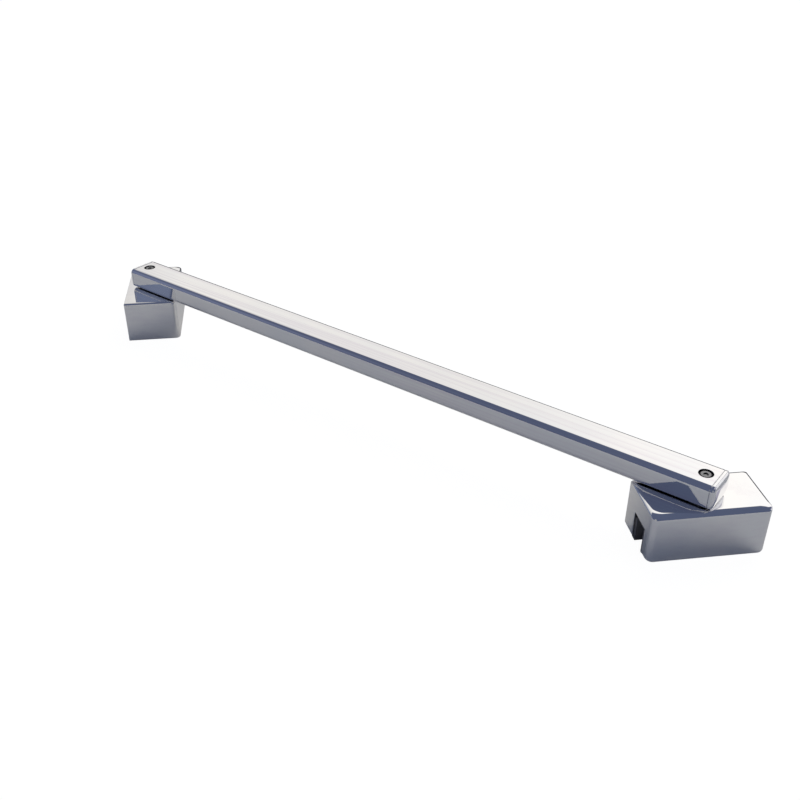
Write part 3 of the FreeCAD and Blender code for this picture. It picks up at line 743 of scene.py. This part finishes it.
# ---------------------------------------------------------------- pivot screws
def pivot_screw(name, node, pivot, body, materials):
    """A button head screw: its round shoulder painted near-black as the shade of its recess and a dark reflection,
    a plain steel flat top with a hexagon socket.
    """
    low, high = node_box(node)
    head_radius = (high.x - low.x) / 2
    seat = high.z - HEAD_HEIGHT
    profile = [
        (SHANK_RADIUS - SHANK_TIP, low.z),
        (SHANK_RADIUS, low.z + SHANK_TIP),
        (SHANK_RADIUS, seat),
        (head_radius, seat),
        (head_radius, seat + HEAD_SIDE),
    ]
    for inward, up in edge_profile(steps=HEAD_STEPS)[1:]:
        profile.append((
            head_radius - (head_radius - HEAD_FLAT_RADIUS) * inward,
            seat + HEAD_SIDE + (high.z - seat - HEAD_SIDE) * up,
        ))
    place = Matrix.Translation((pivot.x, pivot.y, 0))
    piece = make_object(name, lathe(profile), place)
    socket = [
        (SOCKET_RADIUS, high.z - SOCKET_DEPTH),
        (SOCKET_RADIUS, high.z - SOCKET_BEVEL),
        (SOCKET_MOUTH_RADIUS, high.z + JUST_PAST),
        (SOCKET_MOUTH_RADIUS, high.z + PAST),
    ]
    cut(piece, make_object("socket", lathe(socket, SOCKET_SIDES), place))
    # the shoulder takes the painted-shade steel; the flat top gets plain screw steel below
    finish_piece(piece, body, materials["painted_shade_shoulder"], node)
    piece.data.materials.append(materials["steel_screw"])
    brighten_flat(piece, pivot, high.z)
    return piece


def brighten_flat(piece, pivot, top):
    """Gives a screw's flat top and its socket's floor the piece's second material, plain screw steel; the rest
    keeps the painted shade.
    """
    below_socket = top - SOCKET_DEPTH - 0.1
    within = HEAD_FLAT_RADIUS + 0.05
    for polygon in piece.data.polygons:
        middle = polygon.center / MM
        from_axis = math.hypot(middle.x - pivot.x, middle.y - pivot.y)
        if middle.z > below_socket and from_axis < within and polygon.normal.z > 0.5:
            polygon.material_index = 1


def pivot_screws(materials):
    pivot_screw("wall_screw_head", "wall_pivot_screw", WALL_PIVOT, "wall_bracket", materials)
    pivot_screw("glass_screw_head", "glass_pivot_screw", GLASS_PIVOT, "glass_clamp", materials)


# ---------------------------------------------------------------- the blocks
def drill_pivot_hole(piece, pivot, top):
    hole = [(SCREW_HOLE, top - PIVOT_HOLE_DEPTH), (SCREW_HOLE, top + PAST)]
    drill(piece, Vector((pivot.x, pivot.y, 0)), hole)


def wall_block(materials):
    """The hollow block at the wall: sharp where it meets the wall, rounded on its free side."""
    low, high = node_box("wall_bracket_block")
    crisp = (0.15, 0.15)
    edge = (2.4, 1.7)
    foot = (0.6, 0.6)
    form = soft_block(
        low, high, rounds=(0.1, 3.0, 3.0, 0.1), growth=(0, 0.3, 0.3, 0),
        top=(crisp, edge, edge, edge), bottom=(crisp, foot, foot, foot), power=CAST_POWER,
    )
    piece = make_object("wall_block_casting", form)

    shell = Vector((0, WALL_SHELL, WALL_SHELL))
    cavity_low = low + shell - Vector((PAST, 0, 0))
    cavity_high = high - shell - Vector((WALL_SHELL, 0, 0))
    cavity = make_object("cavity", box_form(cavity_low, cavity_high, CAVITY_CORNER))
    roof = high.z - WALL_SHELL
    boss = [(BOSS_RADIUS, roof - BOSS_DEPTH), (BOSS_RADIUS, roof + PAST)]
    drill(cavity, Vector((WALL_PIVOT.x, WALL_PIVOT.y, 0)), boss)
    cut(piece, cavity)

    drill_pivot_hole(piece, WALL_PIVOT, high.z)
    mouth = SET_SCREW_HOLE + SET_SCREW_BEVEL
    set_screw_hole = [
        (mouth, low.z - PAST),
        (mouth, low.z),
        (SET_SCREW_HOLE, low.z + SET_SCREW_BEVEL),
        (SET_SCREW_HOLE, low.z + WALL_SHELL + PAST),
    ]
    for side in (-1, 1):
        drill(piece, Vector((SET_SCREW_X, side * SET_SCREW_Y, 0)), set_screw_hole)
    chrome_zinc = materials["chrome_zinc"]
    return finish_piece(piece, "wall_bracket", chrome_zinc, "wall_bracket_block")


def clamp_block(materials):
    """The block on the glass, with its slot and the tapped holes of the clamp screws."""
    low, high = node_box("glass_clamp_block")
    end_top = (2.6, 1.3)
    end_bottom = (2.2, 2.2)
    front_top = (4.0, 2.9)
    back_top = (2.6, 1.6)
    long_bottom = (1.0, 1.0)
    form = soft_block(
        low, high, rounds=(3.0, 3.0, 1.2, 1.2), growth=(0.6, 0.6, 0.6, 0.6),
        top=(end_top, front_top, end_top, back_top),
        bottom=(end_bottom, long_bottom, end_bottom, long_bottom), power=CAST_POWER,
    )
    piece = make_object("clamp_block_casting", form)

    slot_front = node_box("fixed_liner")[0].y
    slot_ceiling = node_box("ceiling_liner")[1].z
    slot_low = Vector((low.x - JUST_PAST, slot_front, low.z - 2 * PAST))
    slot_high = Vector((high.x + JUST_PAST, slot_front + CLAMP_SLOT, slot_ceiling))
    cut(piece, make_object("slot", box_form(slot_low, slot_high, SLOT_CORNER, SLOT_FLARE)))

    drill_pivot_hole(piece, GLASS_PIVOT, high.z)
    # along the hole's own Z, which points out of the block's back from its face at 0
    screw_hole = [
        (CLAMP_SCREW_HOLE, -12),
        (CLAMP_SCREW_HOLE, -CLAMP_SCREW_BEVEL),
        (CLAMP_SCREW_HOLE + CLAMP_SCREW_BEVEL, JUST_PAST),
        (CLAMP_SCREW_HOLE + CLAMP_SCREW_BEVEL, PAST),
    ]
    lie_back = Matrix.Rotation(-math.pi / 2, 4, "X")
    for node in ("clamp_screw_left", "clamp_screw_right"):
        screw_low, screw_high = node_box(node)
        middle = (screw_low + screw_high) / 2
        drill(piece, Vector((middle.x, high.y, middle.z)), screw_hole, lie_back)
    chrome_zinc = materials["chrome_zinc"]
    return finish_piece(piece, "glass_clamp", chrome_zinc, "glass_clamp_block")


bpy.context.scene.view_settings.view_transform = "Standard"
make_camera()
make_world()
make_floor()
make_backdrop()
make_key_light()
all_materials = make_materials()
paint_nodes(all_materials)
bar_tube(all_materials)
end_plugs(all_materials)
pivot_screws(all_materials)
wall_block(all_materials)
clamp_block(all_materials)
